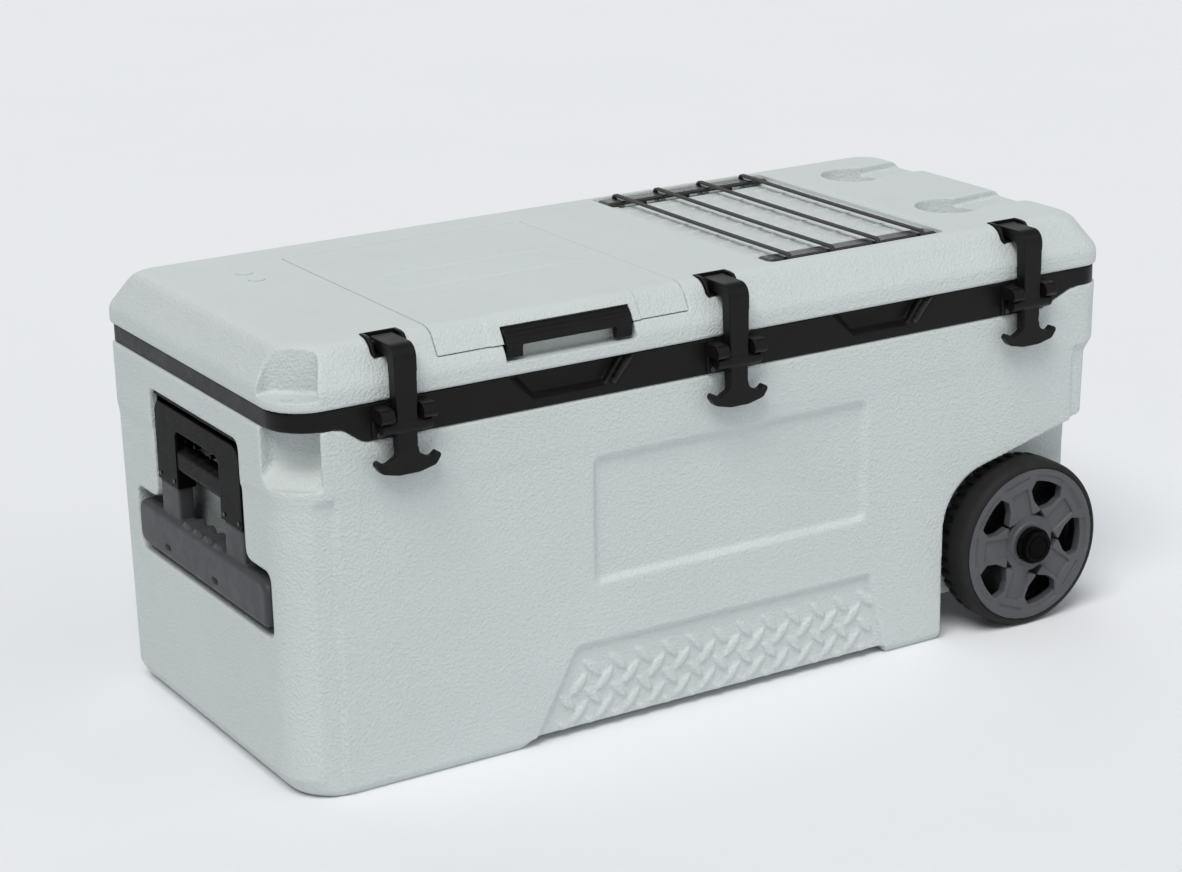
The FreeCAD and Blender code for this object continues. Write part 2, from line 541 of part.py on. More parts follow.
# ---- lid hinges ----
def make_hinges():
    """Three butt hinges on the back: tub leaves, lid leaves, pins and screws."""
    tub_leaves, lid_leaves, pins, tub_screws, lid_screws = [], [], [], [], []
    y, z = LID_PIVOT_Y, LID_PIVOT_Z
    bore_r = 3.0 + RUNNING
    for x in HINGE_X:
        bore = rod(V(x - 50, y, z), X_AXIS, 100, bore_r)
        leaf = [box(x - 45, x + 45, 236, 239, 392, 430)]
        for x0 in (x - 45, x + 15):
            leaf += [rod(V(x0, y, z), X_AXIS, 30, 6.0), box(x0, x0 + 30, 237.5, y, 428, z - 2)]
        tub_leaves.append(fuse(leaf).cut(bore))
        leaf = [box(x - 45, x + 45, 237, 240, 444.2, 457), rod(V(x - 14.5, y, z), X_AXIS, 29, 6.0),
                box(x - 14.5, x + 14.5, 238, y + 3, z + 3, 447)]
        lid_leaves.append(fuse(leaf).cut(bore))
        pins.append(rod(V(x - 46, y, z), X_AXIS, 92, 3.0))
        for dx in (-32, 32):
            start = V(x + dx, 241, 406)
            tub_screws.append(fuse([rod(start, -Y_AXIS, 2, 4.0), rod(start, -Y_AXIS, 22, 2.2)]))
            start = V(x + dx, 242, 451)
            lid_screws.append(fuse([rod(start, -Y_AXIS, 2, 4.0), rod(start, -Y_AXIS, 22, 2.2)]))
    return {"hinge_leaves_tub": Part.makeCompound(tub_leaves),
            "hinge_leaves_lid": Part.makeCompound(lid_leaves),
            "hinge_pins": Part.makeCompound(pins),
            "hinge_screws_tub": Part.makeCompound(tub_screws),
            "hinge_screws_lid": Part.makeCompound(lid_screws)}


# ---- tow handle ----
def make_handle():
    """Swing handle: black yoke on its pivot, cross tube, and grey grip with two flush arms."""
    x, z = HANDLE_X, HANDLE_Z
    half, top = YOKE_HALF, z + 15
    barrel = rod(V(x, -half, z), Y_AXIS, 2 * half, 10.0)
    sides = [box(x - 10, x + 12, -half, half, 280, z), box(x - 10, x + 4, -half, half, z, top)]
    u_shape = prism(in_yz([(-half, 280), (half, 280), (half, top), (-half, top)], x - 20),
                    [0, 0, 18, 18], V(40, 0, 0))
    window = prism(in_yz([(-58, 270), (58, 270), (58, z - 10.4), (-58, z - 10.4)], x - 20),
                   [0, 0, 8, 8], V(40, 0, 0))
    bore = rod(V(x, -130, z), Y_AXIS, 260, 5 + RUNNING)
    yoke = fuse([barrel] + sides).common(u_shape).cut([window, bore])
    cross_tube = prism(in_xz([(x - 9, 299), (x + 12, 299), (x + 12, 331), (x - 9, 331)], -58),
                       9, V(0, 116, 0))
    arms = [box(x - 8.5, x + 9.5, y0, y0 + 50, 232, 280) for y0 in (-112, 62)]
    bar_points = in_yz([(-175, 187), (175, 187), (175, 241), (-175, 241)], x - 13.5)
    bar = prism(bar_points, 15, V(28, 0, 0))
    bar = bar.makeFillet(7, [e for e in bar.Edges if abs(e.BoundBox.XLength) < 0.01])
    bumps = [rod(V(x + 11, y, 236), V(-1, 0, 0), 22, 11) for y in (-42, -14, 14, 42)]
    slots = [prism(in_yz([(y - 7, 199), (y + 7, 199), (y + 7, 205), (y - 7, 205)], x - 18),
                   2, V(9, 0, 0)) for y in (-37, 93)]
    grip = fuse([bar] + arms + bumps).cut(slots)
    screws = []
    for y in (-106, -68, 68, 106):
        screws.append(rod(V(x - 10, y, 288), V(-1, 0, 0), 1.0, 2.4))
    return {"handle_yoke": yoke, "handle_cross_tube": cross_tube, "handle_grip": grip,
            "handle_screws": Part.makeCompound(screws)}


def make_bracket():
    """Fixed bracket at the top of the handle recess, its pivot pin and its screws."""
    x, z = HANDLE_X, HANDLE_Z
    swing = rod(V(x, -YOKE_HALF, z), Y_AXIS, 2 * YOKE_HALF, 19.0)
    back = box(RECESS_X - 4, RECESS_X, -119, 119, 332, 385)
    shelf = box(-545, RECESS_X, -119, 119, 380, 385)
    lugs = [box(-540, RECESS_X, y0, y0 + 3.6, 346, 385) for y0 in (-119, 115.4)]
    ribs = [box(x - 3, RECESS_X, y0, y0 + 5, 337, 385).cut(swing) for y0 in (-49, -24, 19, 44)]
    bore = rod(V(x, -125, z), Y_AXIS, 250, 5)
    room = prism(in_yz(grown(RECESS_PROFILE, -1.0), RECESS_X), 12.0, V(-40, 0, 0))
    bracket = fuse([back, shelf] + lugs + ribs).common(room).cut(bore)
    pin = rod(V(x, -119, z), Y_AXIS, 238, 5)
    screws = []
    for y in (-90, -30, 30, 90):
        start = V(RECESS_X - 6, y, 338)
        screws.append(fuse([rod(start, X_AXIS, 2, 4.5), rod(start, X_AXIS, 18, 2.5)]))
    return {"handle_bracket": bracket, "handle_pivot_pin": pin,
            "bracket_screws": Part.makeCompound(screws)}


# ---- wheels ----
def make_rim(side):
    """Five-spoke rim: hub, dished spokes with raised borders, and a deep outer barrel."""
    centre = V(WHEEL_X, side * WHEEL_OUT, WHEEL_R)
    inward = V(0, -side, 0)
    width = WHEEL_OUT - WHEEL_IN
    barrel = tube(centre, inward, width, RIM_R, RIM_R - 8)
    lip = tube(centre + inward * 2, inward, 12, RIM_R - 4, RIM_R - 16)
    edge = tube(centre, inward, 4, RIM_R, RIM_R - 3.5)
    hub = rod(centre + inward * 1.5, inward, width - 1.5, 27)
    plate = rod(centre + inward * 4, inward, 8, 36)
    web = rod(centre + inward * 34, inward, 3, RIM_R - 4)
    spoke = [(-26, 35), (26, 35), (18.5, 52), (18, 66), (32, 79), (26, 88), (-26, 88), (-32, 79),
             (-18, 66), (-18.5, 52)]
    dish = [(-12, 30), (12, 30), (12.5, 52), (13, 71), (-13, 71), (-12.5, 52)]
    slit = [(-20, 80.5), (20, 80.5), (18, 84.5), (-18, 84.5)]
    parts, pockets = [barrel, lip, edge, hub, plate, web], []
    for i in range(5):
        angle = -15 + 72 * i
        for outline_xz, start, depth, group in ((spoke, 0.6, 12, parts), (dish, 0.0, 3.6, pockets),
                                                (slit, 0.0, 2.2, pockets)):
            points = [V(x, side * (WHEEL_OUT - start), z) for x, z in outline_xz]
            piece = prism(points, 1.8, inward * depth)
            piece.rotate(V(0, 0, 0), Y_AXIS, angle)
            piece.translate(V(WHEEL_X, 0, WHEEL_R))
            group.append(piece)
    bore = rod(centre + inward * -5, inward, width + 10, 12.0)
    return fuse(parts).cut(pockets + [bore])


def make_tyre(side):
    """Solid rubber tyre with rounded shoulders."""
    y0, y1 = side * WHEEL_IN, side * WHEEL_OUT
    r0, r1, round_off = RIM_R, WHEEL_R, 5.0
    step = round_off * side
    profile = [V(r0, y0, 0), V(r1 - round_off, y0, 0), V(r1, y0 + step, 0),
               V(r1, y1 - step, 0), V(r1 - round_off, y1, 0), V(r0, y1, 0)]
    face = Part.Face(Part.makePolygon(profile + profile[:1]))
    tyre = face.revolve(V(0, 0, 0), Y_AXIS, 360)
    tyre.translate(V(WHEEL_X, 0, WHEEL_R))
    return tyre


def make_wheels():
    nodes = {}
    for name, side in (("front", -1), ("rear", 1)):
        nodes["tyre_" + name] = make_tyre(side)
        nodes["rim_" + name] = make_rim(side)
        start, inward = V(WHEEL_X, side * (WHEEL_OUT - 0.5), WHEEL_R), V(0, -side, 0)
        nodes["bush_" + name] = tube(start, inward, WHEEL_OUT - WHEEL_IN - 0.5, 12.0,
                                     AXLE_R + RUNNING)
        face = V(WHEEL_X, side * WHEEL_OUT, WHEEL_R)
        outward = V(0, side, 0)
        cap = fuse([rod(face, outward, 8, 22.5), rod(face, outward, 14, 19.5)])
        groove = tube(face + outward * 13, outward, 2, 14.5, 13.0)
        nodes["hub_cap_" + name] = cap.cut([groove, rod(face, outward, 11.5, 14.5)])
    axle = rod(V(WHEEL_X, -AXLE_HALF, WHEEL_R), Y_AXIS, 2 * AXLE_HALF, AXLE_R)
    nodes["axle"] = axle
    nodes["axle_sleeve"] = tube(V(WHEEL_X, -BAY_WALL_Y, WHEEL_R), Y_AXIS, 2 * BAY_WALL_Y, 12.0, AXLE_R)
    spacer_y = (-WHEEL_IN + GAP, BAY_WALL_Y)
    spacers = [tube(V(WHEEL_X, y, WHEEL_R), Y_AXIS, WHEEL_IN - BAY_WALL_Y - GAP, 14.0, AXLE_R)
               for y in spacer_y]
    nodes["axle_spacers"] = Part.makeCompound(spacers)
    clips = [tube(V(WHEEL_X, y, WHEEL_R), Y_AXIS, 2, 12.5, AXLE_R) for y in (-255, 253)]
    nodes["axle_clips"] = Part.makeCompound(clips)
    return nodes


# ---- drain ----
def make_drain():
    start = V(STEP_X, 0, DRAIN_Z)
    pipe = rod(start, X_AXIS, DRAIN_X - STEP_X, 14.0)
    flange = rod(V(DRAIN_X, 0, DRAIN_Z), X_AXIS, 3.5, 26.0)
    fitting = fuse([pipe, flange]).cut(rod(start - X_AXIS * 5, X_AXIS, 300, 9.0))
    knob_x = DRAIN_X + 3.5 + GAP
    knob = rod(V(knob_x, 0, DRAIN_Z), X_AXIS, 12, 20.0)
    notches = []
    for i in range(8):
        angle = math.radians(45 * i)
        at = V(knob_x + 4, 22 * math.cos(angle), DRAIN_Z + 22 * math.sin(angle))
        notches.append(rod(at, X_AXIS, 20, 5.0))
    plug = knob.cut(notches).fuse(rod(V(DRAIN_X - 24, 0, DRAIN_Z), X_AXIS, 28, 9.0 - RUNNING))
    return {"drain_pipe": fitting, "drain_plug": plug.removeSplitter()}


def main():
    os.makedirs("parts", exist_ok=True)
    nodes = {"rim_collar": make_collar()}
    for group in (make_tub, make_latches, make_lid, make_hatch, make_hatch_hardware,
                  make_hatch_latch, make_bungee, make_hinges, make_handle, make_bracket,
                  make_wheels, make_drain):
        nodes.update(group())
    for name, shape in nodes.items():
        print(name, len(shape.Solids), round(shape.Volume / 1000.0, 2), shape.isValid())
        shape.exportStep("parts/" + name + ".step")


main()
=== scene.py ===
"""Looks for the wheeled cooler: softened mouldings, rubber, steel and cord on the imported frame."""
import json
import math

import bmesh
import bpy
from mathutils import Matrix, Vector


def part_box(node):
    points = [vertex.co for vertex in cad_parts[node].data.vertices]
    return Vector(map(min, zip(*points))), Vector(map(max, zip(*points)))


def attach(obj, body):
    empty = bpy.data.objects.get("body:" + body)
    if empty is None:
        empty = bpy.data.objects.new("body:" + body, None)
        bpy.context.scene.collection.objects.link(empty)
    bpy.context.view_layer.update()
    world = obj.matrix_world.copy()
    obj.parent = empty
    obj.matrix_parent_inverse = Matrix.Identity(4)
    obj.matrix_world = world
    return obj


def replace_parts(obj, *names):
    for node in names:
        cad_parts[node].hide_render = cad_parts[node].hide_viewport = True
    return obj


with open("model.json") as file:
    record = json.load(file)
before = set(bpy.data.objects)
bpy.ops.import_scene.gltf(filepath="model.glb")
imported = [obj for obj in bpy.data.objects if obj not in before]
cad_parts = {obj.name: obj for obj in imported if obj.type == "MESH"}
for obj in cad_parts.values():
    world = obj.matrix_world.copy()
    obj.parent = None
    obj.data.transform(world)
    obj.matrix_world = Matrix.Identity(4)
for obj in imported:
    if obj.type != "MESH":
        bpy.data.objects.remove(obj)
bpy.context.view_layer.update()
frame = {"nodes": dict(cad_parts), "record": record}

NODES = frame["nodes"]
BODY_OF = {node: body for body, nodes in frame["record"]["behaviour"]["bodies"].items()
           for node in nodes}
SLOT_OF = {part["node"]: part["material_slot"] for part in frame["record"]["subparts"]}
MM = 0.001
COARSE = 1.0
WELD = 1e-6
MIX_FACTOR, MIX_A, MIX_B, MIX_RESULT = 0, 6, 7, 2


# ---------------------------------------------------------------- materials

class Nodes:
    """A new node material and short calls for wiring it."""

    def __init__(self, name):
        self.material = bpy.data.materials.new(name)
        self.material.use_nodes = True
        self.tree = self.material.node_tree
        self.shader = self.tree.nodes["Principled BSDF"]
        self.where = self.add("TexCoord").outputs["Object"]

    def add(self, kind, **inputs):
        node = self.tree.nodes.new("ShaderNode" + kind)
        for key, value in inputs.items():
            self.put(node.inputs[key.replace("_", " ")], value)
        return node

    def put(self, socket, value):
        if isinstance(value, bpy.types.NodeSocket):
            self.tree.links.new(value, socket)
        else:
            socket.default_value = value

    def noise(self, scale, detail=2.0, rough=0.5, distortion=0.0):
        node = self.add("TexNoise", Scale=scale, Detail=detail, Roughness=rough,
                        Distortion=distortion)
        self.put(node.inputs["Vector"], self.where)
        return node.outputs["Fac"]

    def cells(self, scale, smooth=0.6):
        node = self.add("TexVoronoi")
        node.feature = "SMOOTH_F1"
        node.inputs["Scale"].default_value = scale
        node.inputs["Smoothness"].default_value = smooth
        self.put(node.inputs["Vector"], self.where)
        return node.outputs["Distance"]

    def map(self, value, low, high, to_low, to_high):
        node = self.add("MapRange")
        self.put(node.inputs[0], value)
        for i, v in enumerate((low, high, to_low, to_high), start=1):
            self.put(node.inputs[i], v)
        return node.outputs[0]

    def math(self, operation, a, b=0.0):
        node = self.add("Math")
        node.operation = operation
        self.put(node.inputs[0], a)
        self.put(node.inputs[1], b)
        return node.outputs[0]

    def ramp(self, value, *stops):
        node = self.add("ValToRGB")
        self.put(node.inputs[0], value)
        elements = node.color_ramp.elements
        while len(elements) < len(stops):
            elements.new(1.0)
        for element, (place, colour) in zip(elements, stops):
            element.position = place
            element.color = (*colour, 1.0)
        return node.outputs[0]

    def mix(self, factor, under, over):
        """Colour going from the socket under to the colour over as factor rises."""
        node = self.add("Mix")
        node.data_type = "RGBA"
        self.put(node.inputs[MIX_FACTOR], factor)
        self.put(node.inputs[MIX_A], under)
        node.inputs[MIX_B].default_value = (*over, 1.0)
        return node.outputs[MIX_RESULT]

    def along(self, axis):
        node = self.add("SeparateXYZ")
        self.put(node.inputs[0], self.where)
        return node.outputs[axis]

    def bump(self, height, distance, strength=1.0, under=None):
        node = self.add("Bump", Height=height, Distance=distance, Strength=strength)
        if under is not None:
            self.put(node.inputs["Normal"], under)
        return node.outputs["Normal"]

    def finish(self, **inputs):
        for key, value in inputs.items():
            self.put(self.shader.inputs[key.replace("_", " ")], value)
        return self.material


def shaded(colour, factor):
    return tuple(min(1.0, c * factor) for c in colour)


def rubbed_and_highlit_edges(n, base, rub_and_highlight_colour, strength=0.5):
    """Colour that goes paler along sharp convex edges, broken up by noise: partly rubbed wear, partly a
    painted highlight on the edges.
    """
    edge = n.map(n.add("NewGeometry").outputs["Pointiness"], 0.52, 0.60, 0.0, strength)
    # mask of the paler edges, rubbed wear and painted highlight together, broken up by noise
    rub_and_highlight_mask = n.math("MULTIPLY", edge, n.map(n.noise(90, 5.0, 0.7), 0.42, 0.62, 0.0, 1.0))
    return n.mix(rub_and_highlight_mask, base, rub_and_highlight_colour)


def shell_plastic(name="shell_grey"):
    """Rotomoulded polyethylene: pale grey-green, pebbled, and nearly smooth on the lid's top."""
    n = Nodes(name)
    colour = (0.620, 0.668, 0.660)
    mottle = n.noise(7, 4.0, 0.6)
    base = n.ramp(mottle, (0.25, shaded(colour, 0.965)), (0.5, colour),
                  (0.8, shaded(colour, 1.03)))
    pebble = n.cells(330)
    fine = n.noise(900, 3.0, 0.6)
    height = n.math("ADD", n.map(pebble, 0.0, 0.9, 0.0, 1.0), n.math("MULTIPLY", fine, 0.35))
    calm = n.map(n.along(2), 0.4970, 0.4990, 1.0, 0.22)
    wave = n.bump(n.noise(14, 2.0, 0.4), 0.0018, 0.2)
    grain = n.bump(height, 0.00085, calm, wave)
    rough = n.map(n.noise(60, 3.0, 0.6), 0.3, 0.7, 0.50, 0.62)
    return n.finish(Base_Color=base, Roughness=rough, Normal=grain, Specular_IOR_Level=0.42)


def moulded(name, colour, rough, grain=1400, depth=0.00010, rub_and_highlight_colour=None, rub_and_highlight_strength=0.4, coat=0.0,
            specular=0.5, mottle=0.14):
    """Injection-moulded plastic with a fine spark-eroded grain, faint flow marks and paler edges:
    rubbed wear with a painted highlight.
    """
    n = Nodes(name)
    base = n.ramp(n.noise(22, 4.0, 0.6), (0.25, shaded(colour, 1 - mottle)),
                  (0.75, shaded(colour, 1 + mottle)))
    if rub_and_highlight_colour:
        # paler convex edges: rubbed wear plus a painted highlight
        base = rubbed_and_highlit_edges(n, base, rub_and_highlight_colour, rub_and_highlight_strength)
    height = n.math("ADD", n.cells(grain, smooth=0.4), n.noise(grain * 1.7, 2.0, 0.7))
    wave = n.bump(n.noise(35, 2.0, 0.4), 0.0005, 0.4)
    smudge = n.map(n.noise(40, 5.0, 0.65, 0.8), 0.35, 0.65, rough - 0.06, rough + 0.07)
    return n.finish(Base_Color=base, Roughness=smudge, Normal=n.bump(height, depth, 0.8, wave),
                    Coat_Weight=coat, Coat_Roughness=0.25, Specular_IOR_Level=specular)


def rubber(name, colour, rough, rub_and_highlight_colour, depth=0.00014):
    """Dense rubber with a soft bloom, dust in its grain and paler edges: rubbed wear with a painted
    highlight.
    """
    n = Nodes(name)
    bloom = n.noise(30, 5.0, 0.65, 0.5)
    bloomed = n.ramp(bloom, (0.3, shaded(colour, 0.8)), (0.75, shaded(colour, 1.35)))
    # paler convex edges: rubbed wear plus a painted highlight
    base = rubbed_and_highlit_edges(n, bloomed, rub_and_highlight_colour)
    height = n.math("ADD", n.noise(700, 4.0, 0.7),
                    n.math("MULTIPLY", n.noise(160, 2.0, 0.5), 0.6))
    normal = n.bump(height, depth, 0.8)
    rough_map = n.map(bloom, 0.3, 0.7, rough - 0.05, rough + 0.08)
    return n.finish(Base_Color=base, Roughness=rough_map, Normal=normal, Specular_IOR_Level=0.18)


def steel(name="steel"):
    """Stainless bar and screws with fine turning lines."""
    n = Nodes(name)
    lines = n.add("TexNoise", Scale=40.0, Detail=3.0, Roughness=0.7)
    stretch = n.add("Mapping")
    n.put(stretch.inputs["Vector"], n.where)
    stretch.inputs["Scale"].default_value = (60.0, 1.5, 60.0)
    n.put(lines.inputs["Vector"], stretch.outputs[0])
    base = n.ramp(n.noise(50, 3.0, 0.6), (0.3, (0.50, 0.50, 0.49)), (0.7, (0.62, 0.62, 0.61)))
    rough = n.map(lines.outputs["Fac"], 0.3, 0.7, 0.24, 0.42)
    return n.finish(Base_Color=base, Metallic=1.0, Roughness=rough,
                    Normal=n.bump(lines.outputs["Fac"], 0.00006, 0.7))


def foam(name="foam"):
    """Sprayed polyurethane foam with its open cut cells."""
    n = Nodes(name)
    cell = n.cells(420, smooth=0.3)
    base = n.ramp(n.math("ADD", n.noise(12, 4.0, 0.6), n.math("MULTIPLY", cell, 0.3)),
                  (0.35, (0.56, 0.44, 0.22)), (0.85, (0.76, 0.66, 0.42)))
    return n.finish(Base_Color=base, Roughness=n.map(cell, 0.0, 0.8, 0.95, 0.75),
                    Normal=n.bump(cell, 0.0009, 0.9))


def braid(name="cord"):
    """Woven sheath of elastic cord: two sets of fine threads crossing round it."""
    n = Nodes(name)
    uv = n.add("UVMap").outputs[0]
    part = n.add("SeparateXYZ")
    n.put(part.inputs[0], uv)
    threads_round, threads_per_metre = 6, 420
    turns = n.math("MULTIPLY", part.outputs[0], 2 * math.pi * threads_round)
    length = n.math("MULTIPLY", part.outputs[1], 2 * math.pi * threads_per_metre)
    one = n.math("SINE", n.math("ADD", length, turns))
    two = n.math("SINE", n.math("SUBTRACT", length, turns))
    weave = n.math("MAXIMUM", one, two)
    base = n.ramp(n.map(weave, -1.0, 1.0, 0.0, 1.0), (0.2, (0.006, 0.006, 0.006)),
                  (0.9, (0.030, 0.030, 0.031)))
    rough = n.map(n.noise(600, 2.0, 0.5), 0.3, 0.7, 0.62, 0.8)
    return n.finish(Base_Color=base, Roughness=rough, Normal=n.bump(weave, 0.00030, 0.9),
                    Sheen_Weight=0.25, Sheen_Roughness=0.5)


def wheel_grey(name="wheel_grey"):
    """Grey moulded wheel: paler on its face, with painted shade falling to black down inside the
    barrel.
    """
    n = Nodes(name)
    face = -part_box("rim_front")[0].y
    depth = n.math("SUBTRACT", face, n.math("ABSOLUTE", n.along(1)))
    grey = n.ramp(n.noise(22, 4.0, 0.6), (0.25, (0.074, 0.078, 0.084)),
                  (0.75, (0.094, 0.098, 0.105)))
    # painted shade: from 10 to 17 mm in from the wheel's face the grey is mixed to near black
    base = n.mix(n.map(depth, 0.010, 0.017, 0.0, 1.0), grey, (0.011, 0.011, 0.011))
    height = n.math("ADD", n.cells(1100, smooth=0.4), n.noise(1900, 2.0, 0.7))
    rough = n.map(n.noise(40, 5.0, 0.65, 0.8), 0.35, 0.65, 0.36, 0.48)
    return n.finish(Base_Color=base, Roughness=rough, Normal=n.bump(height, 0.00014, 0.8),
                    Specular_IOR_Level=0.4)


def backdrop_paint(name="backdrop"):
    """Pale, matt studio floor, hardly uneven."""
    n = Nodes(name)
    base = n.ramp(n.noise(1.5, 3.0, 0.5), (0.3, (0.860, 0.872, 0.898)),
                  (0.7, (0.870, 0.882, 0.908)))
    return n.finish(Base_Color=base, Roughness=n.map(n.noise(8, 2.0, 0.5), 0.3, 0.7, 0.85, 0.95))


# The edge colours given to moulded and rubber paint paler convex edges: rubbed wear and a painted
# highlight.
LOOKS = {
    "shell_grey": shell_plastic(),
    "liner_white": moulded("liner_white", (0.78, 0.79, 0.78), 0.38, grain=700, depth=0.00018,
                           mottle=0.02),
    "foam": foam(),
    "black_plastic": moulded("black_plastic", (0.0075, 0.0072, 0.0074), 0.34,
                             rub_and_highlight_colour=(0.04, 0.04, 0.04), specular=0.16),
    "gloss_black": moulded("gloss_black", (0.0110, 0.0108, 0.0110), 0.24, grain=2600, depth=0.00003,
                           rub_and_highlight_colour=(0.05, 0.05, 0.05), rub_and_highlight_strength=0.25, coat=0.4),
    "dark_grey_plastic": moulded("dark_grey_plastic", (0.052, 0.055, 0.060), 0.42, grain=1100,
                                 depth=0.00016, rub_and_highlight_colour=(0.11, 0.115, 0.12), specular=0.25),
    "latch_rubber": rubber("latch_rubber", (0.0072, 0.0070, 0.0072), 0.38, (0.035, 0.035, 0.035)),
    "seal_rubber": rubber("seal_rubber", (0.020, 0.020, 0.021), 0.58, (0.05, 0.05, 0.05)),
    "tyre_rubber": rubber("tyre_rubber", (0.0175, 0.0170, 0.0170), 0.60, (0.055, 0.053, 0.05),
                          depth=0.00022),
    "steel": steel(),
    "bush_nylon": moulded("bush_nylon", (0.62, 0.60, 0.55), 0.36, grain=900, depth=0.00008,
                          mottle=0.04),
    "cord": braid(),
}
SHINY_BLACK = moulded("handle_black", (0.0026, 0.0025, 0.0026), 0.26, grain=2600, depth=0.00003,
                      rub_and_highlight_colour=(0.03, 0.03, 0.03), rub_and_highlight_strength=0.25, specular=0.03)
DARK_SCREW = moulded("blacked_screw", (0.010, 0.010, 0.010), 0.30, grain=2600, depth=0.00003)
NODE_LOOKS = {"handle_yoke": SHINY_BLACK, "handle_cross_tube": SHINY_BLACK,
              "handle_bracket": SHINY_BLACK,
              "hub_cap_front": SHINY_BLACK, "hub_cap_rear": SHINY_BLACK,
              "keeper_screws": DARK_SCREW, "handle_screws": DARK_SCREW,
              "rim_front": wheel_grey(), "rim_rear": wheel_grey()}


# ---------------------------------------------------------------- mesh helpers

def new_piece(name, mesh, node):
    """An object for this mesh that rides on the node's body and stands in its material slot."""
    piece = bpy.data.objects.new(name, mesh)
    bpy.context.scene.collection.objects.link(piece)
    slot = SLOT_OF[node]
    mesh.materials.clear()
    mesh.materials.append(NODE_LOOKS.get(node, LOOKS[slot]))
    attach(piece, BODY_OF[node])
    return piece


def joined_mesh(nodes):
    """One mesh holding copies of these CAD nodes' surfaces."""
    bm = bmesh.new()
    for node in nodes:
        bm.from_mesh(NODES[node].data)
    bmesh.ops.remove_doubles(bm, verts=bm.verts, dist=WELD)
    mesh = bpy.data.meshes.new("+".join(nodes))
    bm.to_mesh(mesh)
    bm.free()
    return mesh


def remeshed(mesh, voxel, passes, keep):
    """The mesh with evenly rounded edges: fine voxels, a few smoothing passes, then fewer triangles."""
    worker = bpy.data.objects.new("worker", mesh)
    bpy.context.scene.collection.objects.link(worker)
    remesh = worker.modifiers.new("remesh", "REMESH")
    remesh.mode = "VOXEL"
    remesh.voxel_size = voxel * MM * COARSE
    smooth = worker.modifiers.new("smooth", "SMOOTH")
    smooth.factor = 0.5
    smooth.iterations = max(1, round(passes / COARSE ** 2))
    if keep < 1.0:
        worker.modifiers.new("thin", "DECIMATE").ratio = keep
    bpy.context.view_layer.update()
    graph = bpy.context.evaluated_depsgraph_get()
    result = bpy.data.meshes.new_from_object(worker.evaluated_get(graph))
    bpy.data.objects.remove(worker)
    for polygon in result.polygons:
        polygon.use_smooth = True
    return result


def soften(node, voxel, passes, keep=1.0, filled_by=()):
    """A moulded copy of a CAD node with rounded edges, in its place.

    filled_by lists the nodes that close its hollow, and voxel is in millimetres.
    """
    mesh = remeshed(joined_mesh([node, *filled_by]), voxel, passes, keep)
    piece = new_piece(node + "_moulded", mesh, node)
    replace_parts(piece, node)


# ---------------------------------------------------------------- moulded pieces

soften("body_shell", 2.0, 3, keep=0.11, filled_by=["body_foam"])
soften("lid_shell", 1.6, 2, keep=0.12, filled_by=["lid_foam"])
soften("hatch_shell", 1.0, 2, keep=0.30, filled_by=["hatch_foam"])
soften("rim_collar", 1.8, 3, keep=0.5)
for side in ("left", "centre", "right"):
    soften(f"latch_strap_{side}", 0.8, 3)
soften("latch_keepers", 0.8, 2, keep=0.5)
soften("latch_anchors", 0.8, 2, keep=0.5)
soften("hatch_latch_bar", 0.8, 2)
soften("handle_grip", 1.4, 3, keep=0.6)
soften("handle_yoke", 1.2, 3, keep=0.6)
soften("handle_bracket", 1.0, 2, keep=0.5)
for side in ("front", "rear"):
    soften(f"rim_{side}", 1.0, 2, keep=0.4)


# ---------------------------------------------------------------- tyres and cords

def island_boxes(node):
    """Lowest and highest corner of each separate body in a CAD node."""
    bm = bmesh.new()
    bm.from_mesh(NODES[node].data)
    bmesh.ops.remove_doubles(bm, verts=bm.verts, dist=WELD)
    left, boxes = set(bm.verts), []
    while left:
        stack, found = [left.pop()], []
        while stack:
            vert = stack.pop()
            found.append(vert.co.copy())
            for edge in vert.link_edges:
                other = edge.other_vert(vert)
                if other in left:
                    left.remove(other)
                    stack.append(other)
        boxes.append((Vector(map(min, *found)), Vector(map(max, *found))))
    bm.free()
    return sorted(boxes, key=lambda pair: pair[0].x)


def ease(value, edge, soft):
    """0 inside edge, 1 beyond it, smooth over soft."""
    t = min(1.0, max(0.0, (value - edge) / soft + 0.5))
    return t * t * (3 - 2 * t)


